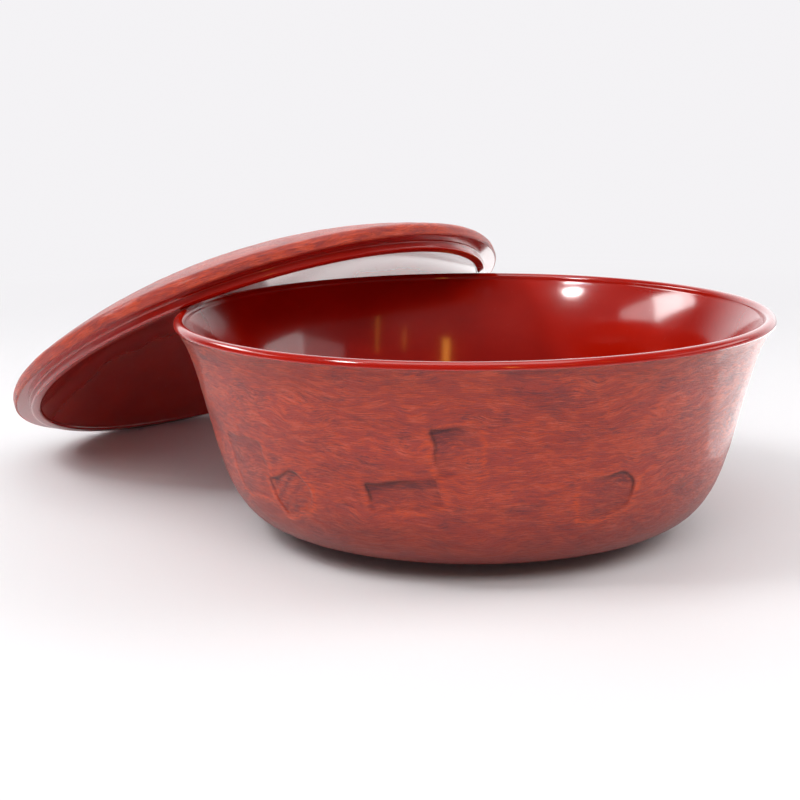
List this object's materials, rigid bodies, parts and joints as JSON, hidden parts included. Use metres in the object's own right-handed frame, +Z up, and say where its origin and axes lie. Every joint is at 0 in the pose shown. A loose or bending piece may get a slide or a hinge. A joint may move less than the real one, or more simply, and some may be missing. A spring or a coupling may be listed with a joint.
{
  "type": "lidded rice bowl",
  "caption": "Lacquered wooden bowl with a flared rim, a brushed outside and a smooth inside, and a domed lid with a locating lip that lifts off.",
  "frame": {"origin": "centre of the bowl's foot ring, on the table", "axes": "+Z up along the bowl's turning axis; the lid leans on the rim at the back left, 133 degrees round from +X"},
  "size_m": [0.1813, 0.1847, 0.0645],
  "materials": {
    "turned_wood": "turned, bare only at the foot ring's resting edge",
    "brushed_lacquer": "glossy lacquer over brush marks, vermilion worn through reddish brown",
    "smooth_lacquer": "smooth glossy vermilion lacquer"
  },
  "bodies": {
    "bowl": {"bowl_core": "turned_wood", "bowl_outer_coat": "brushed_lacquer", "bowl_inner_coat": "smooth_lacquer"},
    "lid": {"lid_core": "turned_wood", "lid_outer_coat": "brushed_lacquer", "lid_inner_coat": "smooth_lacquer"}
  },
  "joints": [
    {"name": "lid_lift", "type": "slide", "parent": "bowl", "child": "lid", "axis": [0, 0, 1], "range_m": [0, 0.08]}
  ]
}
